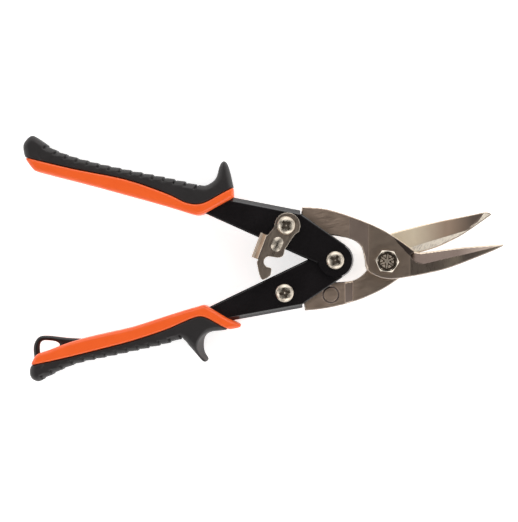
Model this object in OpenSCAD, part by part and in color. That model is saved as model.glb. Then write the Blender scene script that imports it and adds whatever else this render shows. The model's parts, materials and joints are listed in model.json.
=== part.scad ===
// Compound-action aviation snips, lying flat with the blades along +X.
// Millimetres. Z = 0 is the surface that the grips rest on. Outlines are drawn
// from the blade pivot, and heights from the shear plane between the two blades.

/* [Linkage] */
// Blade pivot to the tang pivot of each blade
tang_length = 54.1; // [54:0.1:54.3]
// Handle pivot to the tang pivot of each handle
arm_length = 30.4; // [30.2:0.1:30.6]
// Half of the angle between the two tangs when open
tang_spread = 18.3; // [18.2:0.1:18.4]
// Lean of the linkage's centre line, left end up
linkage_lean = 1.2; // [1:0.1:1.4]

/* [Blades] */
// Thickness of a blade at the pivot
blade_t = 5.45; // [5:0.05:5.45]
// Thickness of a tang
tang_t = 7.2; // [6.8:0.1:7.2]
// Radius of the round tang ends
tang_end_r = 6.2; // [5.8:0.1:6.2]
// Thickness left at a blade's point
point_t = 1.6; // [1.4:0.1:2]
// Gap between the two shear faces
shear_gap = 0.1; // [0.06:0.02:0.2]

/* [Handles] */
// Sheet thickness of the handle channels
sheet_t = 2; // [1.6:0.1:2]
// Outside width of the upper channel
upper_channel_w = 16; // [16:0.2:17]
// Outside width of the lower channel, which nests in the upper one
lower_channel_w = 11.7; // [11.5:0.1:11.7]
// Radius of the channels' round ends at the handle pivot
hub_end_r = 9.3; // [9:0.1:9.4]
// Outside radius of the channels' bends
bend_r = 2.6; // [2.2:0.1:3]

/* [Grips] */
// Thickness of the hard grip bodies
grip_t = 23; // [22.8:0.1:23.4]
// Thickness of the soft rubber overlays
rubber_t = 22; // [20:0.5:22.4]
// Thickness of the hang loop
loop_t = 4; // [3:0.5:5]

/* [Fasteners] */
// Diameter of the blade pivot bolt
bolt_d = 7; // [6:0.5:7]
// Width across flats of the pivot bolt's head and nut
hex_w = 10.6; // [10:0.1:11]
// Diameter of the link screws' shanks
screw_d = 5; // [4:0.5:5]
// Diameter of the screw heads
screw_head_d = 9.3; // [8.8:0.1:9.4]
// Diameter of the neck that the latch hooks on
neck_d = 3.4; // [3:0.1:3.4]
// Radial running clearance of the pivots
running = 0.05; // [0.03:0.01:0.08]
// Radial clearance of the lower handle on the handle pivot
hub_clearance = 0.2; // [0.15:0.05:0.3]

/* [Latch] */
// Thickness of the latch plate
latch_t = 1.5; // [1.2:0.1:1.5]
// Swing of the latch away from the hooked position
latch_swing = 4.5; // [4.5:0.5:8]
// Rise of the thumb tab above the plate
tab_rise = 5; // [4:0.5:6]

/* [Spring] */
// Wire diameter
wire_d = 1.6; // [1.4:0.1:1.6]
// Mean radius of the coil
coil_r = 4.5; // [4.4:0.1:4.8]
// Rise of the coil for each turn
coil_pitch = 1.7; // [1.65:0.05:1.8]

/* [Hidden] */
$fn = 48;

STEEL = "#6e6259";
SHEET = "#1d1a1b";
NICKEL = "#d8d2c8";
ORANGE = "#fd6928";
RUBBER = "#3a3636";

// Where the blade pivot stands, so that the part's box is centred on the origin
pivot_at = [61.9, -1.4];
mid_z = grip_t / 2;

// Pivots of the four-bar linkage, from the blade pivot
function polar(r, a) = r * [cos(a), sin(a)];
centre_line = 180 - linkage_lean;
upper_link = polar(tang_length, centre_line - tang_spread);
lower_link = polar(tang_length, centre_line + tang_spread);
arm_spread = asin(tang_length * sin(tang_spread) / arm_length);
hub_reach = tang_length * cos(tang_spread) - arm_length * cos(arm_spread);
hub = polar(hub_reach, centre_line);

// Heights from the shear plane
face_z = shear_gap / 2;
blade_top = face_z + blade_t;
tang_top = tang_t / 2;
upper_out = upper_channel_w / 2;
upper_in = upper_out - sheet_t;
lower_out = lower_channel_w / 2;
lower_in = lower_out - sheet_t;
latch_bottom = upper_out + 0.5;
latch_top = latch_bottom + latch_t;
neck_bottom = latch_bottom - 0.2;
neck_top = latch_top + 0.3;
cut = 80;

// Lengths of the channels from their front corners to their ends inside the grips
upper_channel_l = 112;
lower_channel_l = 106;

// Pivot bolt's head and the turn of its flats
hex_h = 4;
hex_turn = -5;
dish_d = 9.2;

// Rise of the screw heads, and the back nuts' thickness
head_rise = 2.4;
sleeve_t = 2.5;

// Latch rivet, from the latch's own pivot
rivet_at = [-3.7, -9.8];
rivet_d = 3;

// Points along an arc about c
function arc(c, r, from, to, n = 12) =
    [for (i = [0:n]) c + polar(r, from + (to - from) * i / n)];

// A smooth curve through the points p, with n steps between neighbours
function curve(p, n = 4) =
    let (last = len(p) - 1)
    [
        for (i = [0:last - 1], k = [0:n - 1])
            let (
                a = p[max(i - 1, 0)],
                b = p[i],
                c = p[i + 1],
                d = p[min(i + 2, last)],
                t = k / n
            )
            (2 * b + (c - a) * t + (2 * a - 5 * b + 4 * c - d) * t * t
                + (3 * b - a - 3 * c + d) * t * t * t) / 2,
        p[last]
    ];

module place() {
    translate([pivot_at.x, pivot_at.y, mid_z]) children();
}

// A plate of an outline between two heights
module plate(low, high, points) {
    translate([0, 0, low]) linear_extrude(high - low) polygon(points);
}

module rod(at, low, high, d) {
    translate([at.x, at.y, low]) cylinder(h = high - low, d = d);
}

module ring(at, low, high, d, bore) {
    difference() {
        rod(at, low, high, d);
        rod(at, low - 1, high + 1, bore);
    }
}

function unit(v) = v / norm(v);
function reversed(p) = [for (i = [len(p) - 1:-1:0]) p[i]];

// Everything on one side (1 above, -1 below) of the plane through three points
module half_space(a, b, c, side) {
    across = unit(cross(b - a, c - a));
    n = across * sign(across.z) * side;
    x = unit(b - a);
    y = cross(n, x);
    multmatrix([[x.x, y.x, n.x, a.x], [x.y, y.y, n.y, a.y], [x.z, y.z, n.z, a.z], [0, 0, 0, 1]])
        translate([-cut, -cut, 0]) cube([2 * cut, 2 * cut, cut]);
}

// Blades ------------------------------------------------------------------------------------

// Side view of a blade: thick tang on both sides of the shear plane, joggle, boss, thin point
module blade_stock() {
    rotate([90, 0, 0])
        translate([0, 0, -cut])
            linear_extrude(2 * cut)
                polygon([
                    [-cut, -tang_top], [-21, -tang_top], [-17, face_z], [cut, face_z],
                    [cut, face_z + 0.2], [60, face_z + point_t], [11, blade_top],
                    [-9, blade_top], [-19, tang_top], [-cut, tang_top]
                ]);
}

module lower_jaw_blade() {
    edge = curve([[59.9, 8.7], [39.5, 7.2], [17.7, 4.4]]);
    ground_line = curve([[59.5, 8.2], [46.9, 4.8], [32.5, 0.7], [24, -0.8], [18, -1.1]]);
    outline = concat(
        arc(upper_link, tang_end_r, 96, 262),
        curve([
            [-45, 11.1], [-31, 13.3], [-21, 12.1], [-16.2, 10.4], [-13.3, 8],
            [-12, 5.2], [-10.6, -1.4], [-9.5, -4.7]
        ]),
        curve([
            [-8.6, -5.6], [-3.5, -8.1], [3, -9], [11, -7.9], [20.5, -6.2], [30.1, -3.9],
            [39.7, -0.5], [54.1, 5.2], [59.4, 7.8]
        ]),
        edge,
        curve([
            [14.6, 4.8], [5.5, 11.3], [-3.5, 16.7], [-16.2, 22.1], [-28.4, 26],
            [-36, 27.2], [-42.8, 27.4]
        ]),
        [[-43.2, 23.2]]
    );
    ground = concat(
        ground_line, arc([18, 5.4], 6.5, 270, 200), [[14.8, 5.5], [14.8, 30], [70, 30], [70, 8.4]]
    );
    relief = concat(
        curve([[58, 7.4], [40, 3], [27, 0], [18, -1.6], [11, -2.5]]), [[11, -30], [70, -30], [70, 7]]
    );
    color(STEEL) place() difference() {
        intersection() {
            plate(-20, 20, outline);
            blade_stock();
        }
        // Ground slope down to the cutting edge
        intersection() {
            plate(-1, 20, ground);
            half_space([19.6, -1.1, 4.8], [58, 7.9, 1.75], [17.7, 4.5, 0.95], 1);
        }
        // Relief behind the shear land
        intersection() {
            plate(-1, 20, relief);
            half_space([18, -1.6, face_z], [40, 3.4, face_z], [27, -5, 0.9], -1);
        }
        rod([0, 0], -20, 20, bolt_d + 2 * running);
        rod(upper_link, -20, 20, screw_d + 2 * running);
    }
}

module upper_jaw_blade() {
    edge = curve([[15.5, 4], [25.3, 6.9], [32.5, 10.1], [39.7, 13.9], [53.6, 23.6]]);
    outline = concat(
        arc(lower_link, tang_end_r, 264, 98),
        curve([
            [-45, -9.5], [-31, -10.6], [-21.6, -10.4], [-17.1, -9.8], [-13.8, -8.3], [-11.4, -6.4]
        ]),
        arc([0, 0], 10.8, 205, 112),
        curve([
            [3.3, 14.5], [13.4, 17.2], [22.5, 19.4], [35, 22], [44.5, 23.9], [50.4, 25], [53, 24.5]
        ]),
        reversed(edge),
        curve([
            [12.5, -4], [5.1, -9.8], [-1.2, -13.9], [-7.2, -16.9], [-14.8, -20], [-26.2, -23],
            [-35.3, -24.5], [-41.3, -25]
        ]),
        [[-41.8, -21.1]]
    );
    ground = concat(
        curve([[51.5, 24.8], [35, 20.6], [25, 16], [18, 12]]),
        arc([18, 5.5], 6.5, 90, 160),
        [[14.2, 2], [14.2, -30], [70, -30], [70, 24.5]]
    );
    land_line = curve([[8, 6], [25.3, 10.5], [32.5, 12.4], [39.7, 15.3], [46, 20.1], [48.9, 24]]);
    color(STEEL) place() difference() {
        intersection() {
            plate(-20, 20, outline);
            mirror([0, 0, 1]) blade_stock();
        }
        // Ground slope down to the cutting edge, on the back
        intersection() {
            plate(-20, 1, ground);
            half_space([18, 12, -4.8], [51.5, 24.8, -1.75], [34, 10.8, -0.7], -1);
        }
        // Relief behind the shear land
        intersection() {
            plate(-20, 1, concat(land_line, [[48.9, 40], [-2, 40], [-2, 13]]));
            half_space([11, 6.9, -face_z], [42, 16.2, -face_z], [13.4, 17.2, -1.4], 1);
        }
        // Plain ring stamped in the tang
        ring([-28.2, -16.9], tang_top - 0.25, 20, 8.6, 7.2);
        rod([0, 0], -20, 20, bolt_d + 2 * running);
        rod(lower_link, -20, 20, screw_d + 2 * running);
    }
}

// Handles -----------------------------------------------------------------------------------

// A U of bent sheet: the web's outer face starts at "from" and runs in the direction "angle"
module channel_stock(from, angle, half_w, side) {
    translate([from.x, from.y, 0])
        rotate([0, 0, angle])
            rotate([90, 0, 90])
                translate([0, 0, -60])
                    linear_extrude(220)
                        scale([side, 1])
                            difference() {
                                u_section(0, half_w, bend_r);
                                u_section(sheet_t, half_w - sheet_t, bend_r - sheet_t);
                            }
}

module u_section(back, half_w, r) {
    polygon(concat(
        [[cut, -half_w]],
        arc([back + r, r - half_w], r, 270, 180, 6),
        arc([back + r, half_w - r], r, 180, 90, 6),
        [[cut, half_w]]
    ));
}

module upper_handle_channel() {
    web = [[-43.6, 25.7], [-77, 32.2]];
    web_angle = atan2(web[1].y - web[0].y, web[1].x - web[0].x);
    end = web[0] + upper_channel_l * unit(web[1] - web[0]);
    outline = concat(
        [web[0], end, [-150, 41], [-96, 27], [-91.6, 24.2], [-35.4, -1]],
        arc(hub, hub_end_r, 190, 415, 24),
        [[-43.9, 23.9]]
    );
    color(SHEET) place() difference() {
        intersection() {
            plate(-20, 20, outline);
            channel_stock(web[0], web_angle, upper_out, 1);
        }
        rod(upper_link, -20, 20, screw_d + 2 * running);
        rod(hub, -20, 20, screw_d + 2 * running);
    }
}

module lower_handle_channel() {
    web = [[-42.4, -23.5], [-75, -29.4]];
    web_angle = atan2(web[1].y - web[0].y, web[1].x - web[0].x);
    end = web[0] + lower_channel_l * unit(web[1] - web[0]);
    outline = concat(
        [web[0], end, [-146, -40], [-96, -26.5], [-90.2, -23.3], [-35.4, 3]],
        arc(hub, hub_end_r, 168, -57, 24),
        [[-42.8, -21.9]]
    );
    color(SHEET) place() difference() {
        intersection() {
            plate(-20, 20, outline);
            channel_stock(web[0], web_angle, lower_out, -1);
        }
        rod(lower_link, -20, 20, screw_d + 2 * running);
        rod(hub, -20, 20, screw_d + 2 * hub_clearance);
    }
}

// Grips -------------------------------------------------------------------------------------

upper_parting = curve([
    [-182.7, 52.4], [-158.2, 46.5], [-133, 41.5], [-116.2, 36], [-107.7, 32.6],
    [-101.8, 29.7], [-95.9, 28.7], [-90.8, 30.1], [-84.1, 33.9], [-77.4, 37.3]
], 3);
lower_parting = curve([
    [-179.7, -52.5], [-162.5, -48.7], [-145.6, -44.5], [-128.8, -40.1], [-112, -34.6],
    [-103.6, -31], [-97.6, -28.5], [-92.5, -27.9], [-84.1, -32.3], [-79.9, -34.4]
], 3);

// Rounds the outer edge of a grip that runs from "from" in the direction "angle"
module grip_rounding(from, angle, side, half_t) {
    crown = concat(
        [[-40, -half_t]],
        [for (a = [0:10:180]) [1 + 15 * sin(a), -6 * sin(90 - a) - (half_t - 6) * sign(cos(a))]],
        [[-40, half_t]]
    );
    translate([from.x, from.y, 0])
        rotate([0, 0, angle])
            rotate([90, 0, 90])
                translate([0, 0, -30])
                    linear_extrude(220)
                        scale([side, 1]) polygon(crown);
}

// Plastic that fills the inside of each channel within its grip. It reaches into the sheet,
// which then trims it.
module upper_insert() {
    outline = [[-85, 30], [-85, 32.7], [-150, 45.6], [-150, 41], [-95, 26.7]];
    plate(-upper_in - 0.5, upper_in + 0.5, outline);
}

module lower_insert() {
    outline = [[-88, -28.5], [-88, -30.7], [-144, -40.9], [-144, -39.4], [-95, -26.2]];
    plate(-lower_in - 0.5, lower_in + 0.5, outline);
}

module upper_grip_core() {
    inner = curve([
        [-182.7, 52.4], [-180.5, 49.1], [-178, 46.1], [-175, 44.9], [-145.6, 37.3],
        [-112, 28], [-97.6, 23.6], [-93.8, 23.5], [-91.3, 24.4], [-84.1, 28.4], [-77.2, 32.2]
    ], 3);
    color(ORANGE) difference() {
        place() {
            plate(-grip_t / 2, grip_t / 2, concat(inner, reversed(upper_parting)));
            upper_insert();
        }
        upper_handle_channel();
    }
}

module upper_grip_rubber() {
    outer = curve([
        [-183.5, 55.9], [-183.5, 59.2], [-181, 62.5], [-178.9, 63.5], [-176.5, 62.4],
        [-168.4, 57], [-157.4, 52.8], [-139, 48.2], [-108, 41.9], [-94.2, 38.5],
        [-90.9, 38.5], [-87.5, 40.6], [-85.8, 43.2], [-84.5, 48.2], [-82.9, 50.5],
        [-81.2, 50.2], [-79.5, 46.5], [-77.4, 37.3]
    ], 3);
    color(RUBBER) difference() {
        intersection() {
            place() plate(-rubber_t / 2, rubber_t / 2, concat(upper_parting, reversed(outer)));
            place() grip_rounding([-77, 35], 168.5, -1, rubber_t / 2);
        }
        place() upper_insert();
        upper_handle_channel();
    }
}

module lower_grip_core() {
    inner = curve([
        [-179.7, -52.5], [-178, -48.7], [-176, -46.6], [-171.8, -45.3], [-160, -40.8],
        [-145.6, -37.1], [-128.8, -33.3], [-112, -27.9], [-95.2, -22.8], [-90.9, -22.6],
        [-80.8, -28.5], [-74.5, -31.4], [-74, -33.2], [-79.9, -34.4]
    ], 3);
    color(ORANGE) difference() {
        place() {
            plate(-grip_t / 2, grip_t / 2, concat(inner, reversed(lower_parting)));
            lower_insert();
        }
        lower_handle_channel();
        hang_loop_solid();
    }
}

module lower_grip_rubber() {
    outer = curve([
        [-180.2, -54.2], [-180.3, -56.7], [-179.3, -59.2], [-176.8, -60.5], [-173.9, -60],
        [-158.3, -52.5], [-137.2, -47.7], [-112, -42.1], [-103.4, -39.4], [-100.2, -42.1],
        [-93.5, -49.9], [-91.5, -50.9], [-90.1, -49.9], [-90.3, -47.3], [-92.3, -40.9],
        [-91.2, -37.2], [-87.9, -35.7], [-79.9, -34.4]
    ], 3);
    color(RUBBER) difference() {
        intersection() {
            place() plate(-rubber_t / 2, rubber_t / 2, concat(lower_parting, reversed(outer)));
            place() grip_rounding([-78, -32], 190.5, 1, rubber_t / 2);
        }
        place() lower_insert();
        lower_handle_channel();
    }
}

module hang_loop_solid() {
    outer = curve([
        [-178.6, -50], [-179, -43], [-176.6, -38.6], [-172, -37.7], [-162, -38.8],
        [-153.6, -39.4], [-150, -41.2]
    ]);
    place() plate(-loop_t / 2, loop_t / 2, concat(outer, [[-150, -43], [-176, -50]]));
}

module hang_loop() {
    hole = curve([
        [-175.8, -46.6], [-175.8, -42.4], [-174.9, -40.7], [-173, -40.1], [-168, -40.6],
        [-165.8, -42.1], [-166.4, -43.6]
    ]);
    color(SHEET) difference() {
        hang_loop_solid();
        place() plate(-loop_t, loop_t, hole);
    }
}

// Fasteners ---------------------------------------------------------------------------------

module hex_prism(at, low, high, w) {
    translate([at.x, at.y, low]) rotate([0, 0, hex_turn])
        cylinder(h = high - low, d = w / cos(30), $fn = 6);
}

module pivot_bolt() {
    head_top = blade_top + hex_h;
    rib = [3.2, 1.2, 0.7];
    color(NICKEL) place() {
        difference() {
            intersection() {
                hex_prism([0, 0], blade_top, head_top, hex_w);
                translate([0, 0, head_top - 8])
                    cylinder(h = 8, r1 = hex_w / 2 + 8, r2 = hex_w / 2 + 0.1);
            }
            rod([0, 0], head_top - 1, head_top + 1, dish_d);
        }
        // Six plain raised ribs in the dished head
        for (i = [0:5])
            rotate([0, 0, 60 * i + 25])
                translate([0.8, -rib.y / 2, head_top - 1.1]) cube(rib);
        rod([0, 0], -mid_z + 0.5, blade_top + 0.5, bolt_d);
    }
}

module pivot_washer() {
    color(NICKEL) place() ring([0, 0], -blade_top - 1, -blade_top, 13.4, bolt_d + 2 * running);
}

module pivot_nut() {
    color(NICKEL) place() difference() {
        hex_prism([0, 0], -mid_z, -blade_top - 1, hex_w);
        rod([0, 0], -20, 0, bolt_d);
    }
}

// A domed screw head with a cross recess, seated at height z
module screw_head(at, z) {
    d = screw_head_d;
    slot = [5.2, 1.3, 3];
    translate([at.x, at.y, z]) difference() {
        rotate_extrude()
            polygon(concat(
                [[0, 0], [d / 2, 0], [d / 2, 0.5]],
                [for (a = [10:10:90]) [d / 2 * cos(a), 0.5 + (head_rise - 0.5) * sin(a)]]
            ));
        for (a = [40, 130])
            rotate([0, 0, a])
                translate([-slot.x / 2, -slot.y / 2, head_rise - 1.4]) cube(slot);
    }
}

// A round sleeve nut whose flange faces the back
module sleeve_nut(at, low, high) {
    translate([at.x, at.y, low]) difference() {
        rotate_extrude()
            polygon([
                [0, 0], [screw_head_d / 2 - 0.8, 0], [screw_head_d / 2, 0.8],
                [screw_head_d / 2, high - low], [0, high - low]
            ]);
        cylinder(h = 20, d = screw_d, center = true);
    }
}

module upper_link_screw() {
    color(NICKEL) place() {
        screw_head(upper_link, latch_top + 0.05);
        rod(upper_link, -upper_out - sleeve_t + 0.2, latch_top + 0.3, screw_d);
    }
}

module upper_link_nut() {
    color(NICKEL) place() sleeve_nut(upper_link, -upper_out - sleeve_t, -upper_out);
}

module tang_spacers() {
    color(NICKEL) place() {
        for (side = [0, 1])
            mirror([0, 0, side])
                ring(upper_link, tang_top + 0.05, upper_in - 0.05, 10, screw_d + 2 * running);
    }
}

module lower_link_screw() {
    color(NICKEL) place() {
        screw_head(lower_link, neck_top);
        rod(lower_link, neck_bottom - 0.1, neck_top + 0.3, neck_d);
        rod(lower_link, lower_out, neck_bottom, 8);
        rod(lower_link, -lower_out - sleeve_t + 0.2, lower_out + 0.3, screw_d);
    }
}

module lower_link_nut() {
    color(NICKEL) place() sleeve_nut(lower_link, -lower_out - sleeve_t, -lower_out);
}

module handle_pivot_screw() {
    color(NICKEL) place() {
        screw_head(hub, upper_out);
        rod(hub, -upper_out - sleeve_t + 0.2, upper_out + 0.3, screw_d);
    }
}

module handle_pivot_nut() {
    color(NICKEL) place() sleeve_nut(hub, -upper_out - sleeve_t, -upper_out);
}

module handle_pivot_bush() {
    color(NICKEL) place()
        ring(hub, 0.05 - lower_in, lower_in - 0.05, 6.4, screw_d + 2 * running);
}

// Spring ------------------------------------------------------------------------------------

// A round wire swept along the points p
module wire(p, d, sides = 10) {
    last = len(p) - 1;
    rings = [
        for (i = [0:last])
            let (
                run = p[min(i + 1, last)] - p[max(i - 1, 0)],
                ahead = run / norm(run),
                side = cross([0, 0, 1], ahead) / norm(cross([0, 0, 1], ahead)),
                up = cross(ahead, side)
            )
            for (k = [0:sides - 1])
                p[i] + d / 2 * (side * cos(360 * k / sides) + up * sin(360 * k / sides))
    ];
    walls = [
        for (i = [0:last - 1], k = [0:sides - 1])
            let (a = i * sides + k, b = i * sides + (k + 1) % sides)
            [a, b, b + sides, a + sides]
    ];
    start_cap = [for (k = [sides - 1:-1:0]) k];
    end_cap = [for (k = [0:sides - 1]) last * sides + k];
    polyhedron(points = rings, faces = concat(walls, [start_cap, end_cap]));
}

module torsion_spring() {
    // Each leg bears on the round end of a tang, just clear of it
    leg_gap = tang_end_r + wire_d / 2 + running;
    leg_lean = asin((leg_gap - coil_r) / arm_length);
    upper_start = centre_line - arm_spread + leg_lean + 90;
    lower_start = centre_line + arm_spread - leg_lean - 90;
    sweep = lower_start + 3 * 360 - upper_start;
    steps = 64;
    leg = arm_length + 1.2;
    rise = coil_pitch * sweep / 360;
    upper_foot = hub + polar(coil_r, upper_start);
    lower_foot = hub + polar(coil_r, lower_start);
    upper_tip = upper_foot + polar(leg, upper_start - 90);
    lower_tip = lower_foot + polar(leg, lower_start + 90);
    path = concat(
        [[upper_tip.x, upper_tip.y, -rise / 2]],
        [
            for (i = [0:steps])
                let (at = hub + polar(coil_r, upper_start + sweep * i / steps))
                [at.x, at.y, rise * (i / steps - 0.5)]
        ],
        [[lower_tip.x, lower_tip.y, rise / 2]]
    );
    color(NICKEL) place() wire(path, wire_d);
}

// Latch -------------------------------------------------------------------------------------

module latch_frame() {
    place() translate([upper_link.x, upper_link.y, 0]) rotate([0, 0, -latch_swing]) children();
}

module latch_hook() {
    outline = concat(
        arc([0.7, 0], 6.5, 190, -25, 16),
        curve([
            [4.9, -4.1], [3, -7.2], [1.2, -10.5], [0.3, -12.4], [0.1, -14.4], [-0.8, -15.9],
            [-2.6, -16.5], [-6, -16.3]
        ], 3),
        arc([-7, -18.95], 2.7, 85, 265, 10),
        curve([[-6.4, -21.8], [-5.6, -22.3], [-5.6, -24], [-6.1, -26], [-8, -27.6]], 3),
        curve([[-9.5, -28.3], [-10.6, -27.4], [-11.8, -25], [-13.3, -19.6]], 3),
        [[-12.6, -18.2], [-8.9, -5.6]]
    );
    fold = [[-12.6, -18.2], [-8.9, -5.6]];
    fold_length = norm(fold[1] - fold[0]);
    color(STEEL) latch_frame() {
        difference() {
            plate(latch_bottom, latch_top, outline);
            rod([0, 0], 0, 20, screw_d + 2 * running);
            rod(rivet_at, 0, 20, rivet_d);
        }
        // Thumb tab, folded up along the back edge
        translate([fold[0].x, fold[0].y, latch_bottom])
            rotate([0, 0, atan2(fold[1].y - fold[0].y, fold[1].x - fold[0].x)])
                rotate([90, 0, 90])
                    linear_extrude(fold_length)
                        polygon([
                            [-0.6, 0], [1.2, 0], [1.8, 0.6], [3.8, tab_rise],
                            [2.6, tab_rise + 0.6], [0.5, latch_t], [-0.6, latch_t]
                        ]);
    }
}

module latch_washer() {
    color(NICKEL) place() ring(upper_link, upper_out, latch_bottom, 11, screw_d + 2 * running);
}

module latch_rivet() {
    color(NICKEL) latch_frame() {
        translate([rivet_at.x, rivet_at.y, 0]) rotate([0, 0, 72]) {
            rod([-1.1, 0], latch_top, latch_top + 1.1, 5.3);
            rod([1.1, 0], latch_top, latch_top + 1.1, 5.3);
            translate([-1.1, -2.65, latch_top]) cube([2.2, 5.3, 1.1]);
            rod([0, 0], upper_out + 0.08, latch_bottom, 4.4);
            rod([0, 0], latch_bottom - 0.2, latch_top + 0.2, rivet_d);
        }
    }
}

lower_jaw_blade();
upper_jaw_blade();
pivot_bolt();
pivot_washer();
pivot_nut();
upper_handle_channel();
lower_handle_channel();
upper_grip_core();
upper_grip_rubber();
lower_grip_core();
lower_grip_rubber();
hang_loop();
upper_link_screw();
upper_link_nut();
tang_spacers();
lower_link_screw();
lower_link_nut();
handle_pivot_screw();
handle_pivot_nut();
handle_pivot_bush();
torsion_spring();
latch_hook();
latch_washer();
latch_rivet();
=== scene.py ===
"""The looks of the aviation snips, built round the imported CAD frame. Lengths are in metres."""
import json
import math

import bmesh
import bpy
import numpy as np
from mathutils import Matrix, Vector
from mathutils.bvhtree import BVHTree

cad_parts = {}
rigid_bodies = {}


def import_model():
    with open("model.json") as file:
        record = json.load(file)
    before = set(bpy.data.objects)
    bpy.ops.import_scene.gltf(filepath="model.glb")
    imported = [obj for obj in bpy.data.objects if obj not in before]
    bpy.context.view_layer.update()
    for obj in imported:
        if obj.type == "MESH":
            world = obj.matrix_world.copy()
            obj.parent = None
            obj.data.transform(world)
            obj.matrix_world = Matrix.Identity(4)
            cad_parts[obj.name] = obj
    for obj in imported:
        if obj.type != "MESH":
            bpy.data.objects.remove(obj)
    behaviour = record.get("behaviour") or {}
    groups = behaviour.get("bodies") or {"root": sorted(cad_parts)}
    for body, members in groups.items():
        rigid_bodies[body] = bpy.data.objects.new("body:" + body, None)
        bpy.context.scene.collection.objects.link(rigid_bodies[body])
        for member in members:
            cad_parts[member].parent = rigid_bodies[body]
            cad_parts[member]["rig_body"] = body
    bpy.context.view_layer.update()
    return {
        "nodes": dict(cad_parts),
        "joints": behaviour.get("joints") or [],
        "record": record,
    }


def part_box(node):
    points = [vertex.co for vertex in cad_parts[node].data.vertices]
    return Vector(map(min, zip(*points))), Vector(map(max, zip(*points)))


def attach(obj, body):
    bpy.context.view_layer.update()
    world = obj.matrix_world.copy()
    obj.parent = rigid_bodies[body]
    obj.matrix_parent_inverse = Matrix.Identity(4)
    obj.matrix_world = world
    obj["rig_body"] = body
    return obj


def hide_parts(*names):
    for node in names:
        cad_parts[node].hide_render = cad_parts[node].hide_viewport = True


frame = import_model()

MM = 0.001
WELD = 1e-6
MID_Z = frame["joints"][0]["pos_m"][2]
PIVOT = {joint["name"]: Vector(joint["pos_m"]) for joint in frame["joints"]}


def middle(node):
    """The centre of a CAD node's box."""
    low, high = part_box(node)
    return (low + high) / 2


def smooth_step(value, low, high):
    """0 up to low, 1 from high on, and an even S between."""
    t = np.clip((value - low) / (high - low), 0, 1)
    return t * t * (3 - 2 * t)


def fade(value, low, high):
    """1 up to low and 0 from high on."""
    return 1 - smooth_step(value, low, high)


def spread(tree, value, low, high, to_low, to_high):
    """A node's value from low to high carried over to to_low to to_high, and held there."""
    node = tree.nodes.new("ShaderNodeMapRange")
    node.inputs["From Min"].default_value = low
    node.inputs["From Max"].default_value = high
    node.inputs["To Min"].default_value = to_low
    node.inputs["To Max"].default_value = to_high
    tree.links.new(value, node.inputs["Value"])
    return node.outputs["Result"]


# Camera and light -----------------------------------------------------------------------------

LENS = 150.0
SENSOR = 36.0
FRAME_HEIGHT = 265.2 * MM
VIEW_CENTRE = (-2.7 * MM, -1.25 * MM)
BOX_DISTANCE = 1.3
BOX_SIZE = (0.9, 0.45)
FLOOR_HALF = 2.5


def add_camera():
    """Looks straight down on the tool."""
    data = bpy.data.cameras.new("camera")
    data.lens = LENS
    data.sensor_width = SENSOR
    data.clip_end = 50
    camera = bpy.data.objects.new("camera", data)
    camera.location = (*VIEW_CENTRE, MID_Z + FRAME_HEIGHT * LENS / SENSOR)
    bpy.context.scene.collection.objects.link(camera)
    bpy.context.scene.camera = camera


def softbox(name, azimuth, elevation, power):
    """A rectangular light that faces the tool from that azimuth and elevation, in degrees."""
    data = bpy.data.lights.new(name, "AREA")
    data.shape = "RECTANGLE"
    data.size, data.size_y = BOX_SIZE
    data.energy = power
    light = bpy.data.objects.new(name, data)
    a, e = math.radians(azimuth), math.radians(elevation)
    away = Vector((math.cos(a) * math.cos(e), math.sin(a) * math.cos(e), math.sin(e)))
    light.location = away * BOX_DISTANCE
    light.rotation_mode = "QUATERNION"
    light.rotation_quaternion = away.to_track_quat("Z", "Y")
    bpy.context.scene.collection.objects.link(light)


def add_world():
    """A pale, uneven room that is bright round the horizon and dark overhead."""
    world = bpy.data.worlds.new("studio")
    world.use_nodes = True
    tree = world.node_tree
    background = tree.nodes["Background"]
    background.inputs["Color"].default_value = (1.0, 0.985, 0.965, 1)
    split = tree.nodes.new("ShaderNodeSeparateXYZ")
    place = tree.nodes.new("ShaderNodeTexCoord")
    tree.links.new(place.outputs["Generated"], split.inputs["Vector"])
    dome = spread(tree, split.outputs["Z"], 0.70, 0.95, 1.25, 0.14)
    cloud = tree.nodes.new("ShaderNodeTexNoise")
    cloud.inputs["Scale"].default_value = 1.6
    cloud.inputs["Detail"].default_value = 0.5
    tree.links.new(place.outputs["Generated"], cloud.inputs["Vector"])
    uneven = spread(tree, cloud.outputs["Fac"], 0.42, 0.58, 0.3, 1.6)
    strength = tree.nodes.new("ShaderNodeMath")
    strength.operation = "MULTIPLY"
    tree.links.new(dome, strength.inputs[0])
    tree.links.new(uneven, strength.inputs[1])
    tree.links.new(strength.outputs["Value"], background.inputs["Strength"])
    bpy.context.scene.world = world


def add_floor():
    """A plain pale sheet just under the tool."""
    bm = bmesh.new()
    bmesh.ops.create_grid(bm, x_segments=8, y_segments=8, size=FLOOR_HALF)
    mesh = bpy.data.meshes.new("floor")
    bm.to_mesh(mesh)
    bm.free()
    floor = bpy.data.objects.new("floor", mesh)
    floor.location.z = -0.1 * MM
    paper = bpy.data.materials.new("paper")
    paper.use_nodes = True
    shader = paper.node_tree.nodes["Principled BSDF"]
    shader.inputs["Base Color"].default_value = (0.9, 0.9, 0.9, 1)
    shader.inputs["Roughness"].default_value = 0.9
    shader.inputs["Specular IOR Level"].default_value = 0.1
    shader.inputs["Emission Color"].default_value = (1, 1, 1, 1)
    shader.inputs["Emission Strength"].default_value = 0.6
    mesh.materials.append(paper)
    bpy.context.scene.collection.objects.link(floor)


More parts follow.
